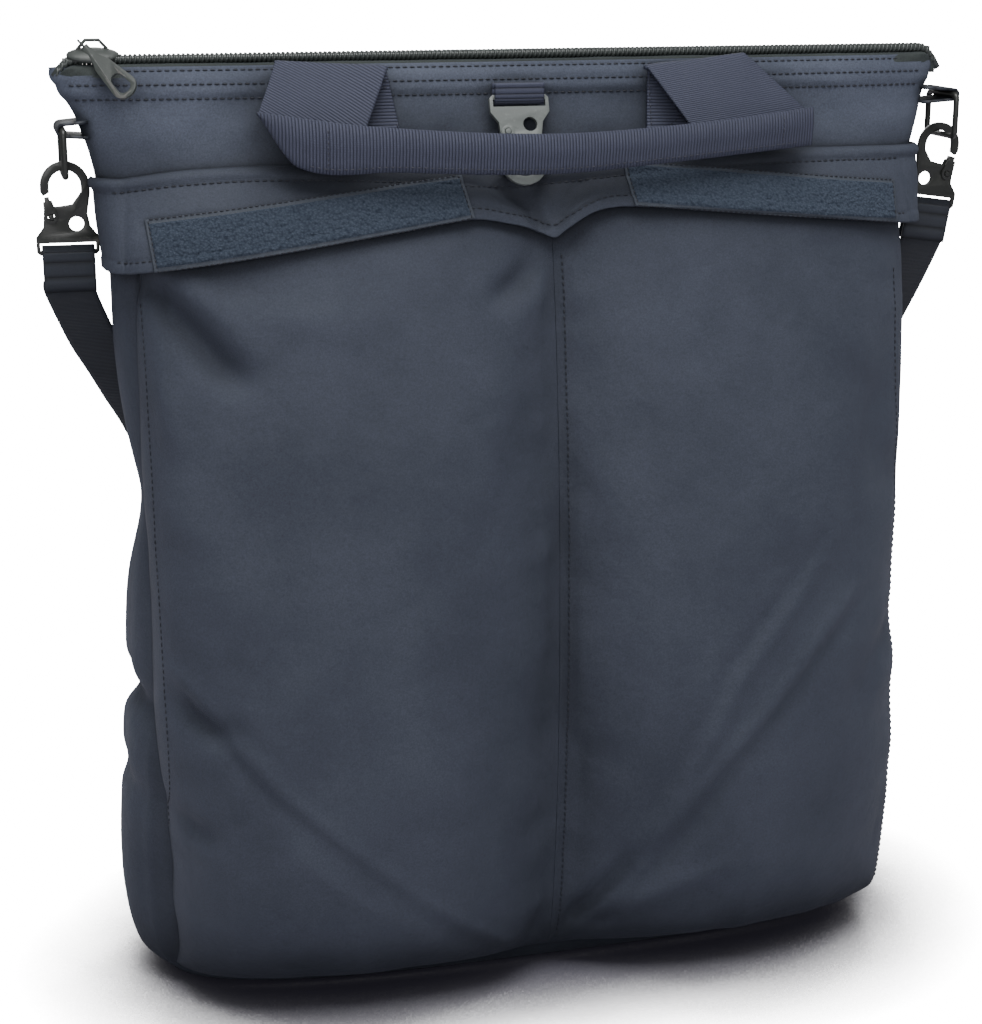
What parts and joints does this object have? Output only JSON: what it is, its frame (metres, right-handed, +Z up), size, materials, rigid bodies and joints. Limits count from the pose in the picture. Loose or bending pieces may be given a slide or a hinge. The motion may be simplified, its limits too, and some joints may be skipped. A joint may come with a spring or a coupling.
{
  "type": "flight helmet bag",
  "caption": "Soft flat-topped bag for a flyer's helmet: zipped top, front patch pockets under a flap, web carrying handles, snap hooks and a clip-on shoulder strap.",
  "frame": {"origin": "centre of the base panel's underside, on the surface that the bag stands on", "axes": "+Z up, -Y out of the pocket side, +X to the right when facing the pockets"},
  "size_m": [0.4865, 0.2358, 0.4869],
  "materials": {
    "shell": "matt nylon twill, dark navy grey",
    "lining": "plain quilted nylon lining",
    "webbing": "wide ribbed webbing, navy",
    "strap": "narrow strap webbing, near black",
    "pile": "brushed loop and hook tape",
    "zip_tape": "woven zipper tape, grey green",
    "coil": "black moulded nylon coil",
    "green_enamel": "grey green enamel",
    "black_enamel": "black enamel on steel"
  },
  "bodies": {
    "root": {"front_panel": "shell", "back_panel": "shell", "gusset_left": "shell", "gusset_right": "shell", "base_panel": "shell", "lining_front": "lining", "lining_back": "lining", "front_yoke": "shell", "back_yoke": "shell", "pocket_left": "shell", "pocket_right": "shell", "pocket_flap": "shell", "pile_tape_left": "pile", "pile_tape_right": "pile", "hook_tape_left": "pile", "hook_tape_right": "pile", "zipper_coil_front": "coil", "zipper_coil_back": "coil", "zipper_tape_front": "zip_tape", "zipper_tape_back": "zip_tape", "zipper_stop_left": "coil", "zipper_stop_right": "coil", "front_handle_anchor_left": "webbing", "front_handle_anchor_right": "webbing", "rear_handle_anchor_left": "webbing", "rear_handle_anchor_right": "webbing", "centre_tab": "webbing", "side_tab_left": "strap", "side_tab_right": "strap", "strap_fall_left": "strap", "strap_fall_right": "strap", "strap_ground": "strap"},
    "slider": {"zipper_slider": "green_enamel"},
    "pull_tab": {"zipper_pull_tab": "green_enamel"},
    "front_handle": {"front_handle": "webbing"},
    "rear_handle": {"rear_handle": "webbing"},
    "hanger_left": {"ring_left": "black_enamel", "snap_hook_left_frame": "black_enamel", "snap_hook_left_rivet": "black_enamel", "strap_loop_left": "strap"},
    "gate_left": {"snap_hook_left_gate": "black_enamel"},
    "hanger_right": {"ring_right": "black_enamel", "snap_hook_right_frame": "black_enamel", "snap_hook_right_rivet": "black_enamel", "strap_loop_right": "strap"},
    "gate_right": {"snap_hook_right_gate": "black_enamel"},
    "centre_hook": {"centre_hook_frame": "green_enamel", "centre_hook_rivet": "green_enamel"},
    "centre_gate": {"centre_hook_gate": "green_enamel"},
    "adjuster": {"strap_adjuster": "black_enamel"}
  },
  "joints": [
    {"name": "zipper_slide", "type": "slide", "parent": "root", "child": "slider", "axis": [1, 0, 0], "range_m": [0, 0.412]},
    {"name": "pull_tab_swing", "type": "hinge", "parent": "slider", "child": "pull_tab", "pos_m": [-0.2123, 0, 0.48425], "axis": [-0.7316, 0, -0.6817], "range_deg": [0, 216]},
    {"name": "front_handle_lift", "type": "hinge", "parent": "root", "child": "front_handle", "pos_m": [0, -0.0206, 0.4752], "axis": [-1, 0, 0], "range_deg": [0, 160]},
    {"name": "rear_handle_lift", "type": "hinge", "parent": "root", "child": "rear_handle", "pos_m": [0, 0.0206, 0.4752], "axis": [1, 0, 0], "range_deg": [0, 160]},
    {"name": "hanger_left_swing", "type": "hinge", "parent": "root", "child": "hanger_left", "pos_m": [-0.224, 0, 0.445], "axis": [0, 1, 0], "range_deg": [0, 60]},
    {"name": "hanger_right_swing", "type": "hinge", "parent": "root", "child": "hanger_right", "pos_m": [0.2365, 0, 0.453], "axis": [0, -1, 0], "range_deg": [0, 60]},
    {"name": "gate_left_open", "type": "hinge", "parent": "hanger_left", "child": "gate_left", "pos_m": [-0.2312, 0, 0.4031], "axis": [0, 1, 0], "range_deg": [0, 25], "stiffness_Nm_per_rad": 0.02, "springref_deg": -17.19},
    {"name": "gate_right_open", "type": "hinge", "parent": "hanger_right", "child": "gate_right", "pos_m": [0.24079, 0, 0.4103], "axis": [0, -1, 0], "range_deg": [0, 25], "stiffness_Nm_per_rad": 0.02, "springref_deg": -17.19},
    {"name": "centre_hook_swing", "type": "hinge", "parent": "root", "child": "centre_hook", "pos_m": [-0.004, -0.0225, 0.4569], "axis": [-1, 0, 0], "range_deg": [0, 12]},
    {"name": "centre_gate_open", "type": "hinge", "parent": "centre_hook", "child": "centre_gate", "pos_m": [-0.0112, -0.02913, 0.44073], "axis": [0, -0.9336, 0.3584], "range_deg": [0, 25], "stiffness_Nm_per_rad": 0.02, "springref_deg": -17.19},
    {"name": "adjuster_slide", "type": "slide", "parent": "root", "child": "adjuster", "axis": [1, 0, 0], "range_m": [-0.1, 0.07]}
  ],
  "couplings": [
    {"joint": "pull_tab_swing", "follows": "zipper_slide", "rad_per_m": 9.15}
  ]
}
